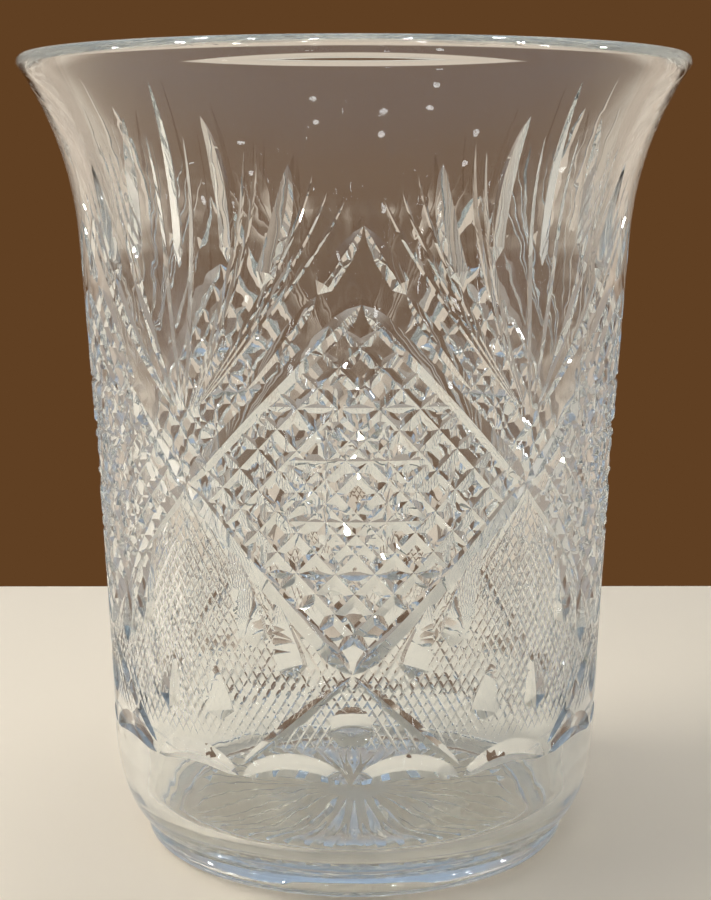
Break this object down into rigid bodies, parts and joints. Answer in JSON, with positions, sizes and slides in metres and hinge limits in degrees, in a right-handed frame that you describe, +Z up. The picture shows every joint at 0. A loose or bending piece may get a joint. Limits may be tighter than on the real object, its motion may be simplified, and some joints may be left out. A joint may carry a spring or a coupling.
{
  "type": "tumbler",
  "caption": "Clear cut glass drinking tumbler with a flared lip, star-cut diamond panels, fans, a scalloped border and a low round foot.",
  "frame": {"origin": "on the glass's axis, at the height of the table it stands on", "axes": "+Z up along the axis of the bowl, towards the open lip; -Y is the side where one cut panel is centred"},
  "size_m": [0.0818, 0.0818, 0.098],
  "materials": {
    "clear_glass": "polished clear"
  },
  "bodies": {
    "root": {"tumbler_glass": "clear_glass"}
  },
  "joints": []
}
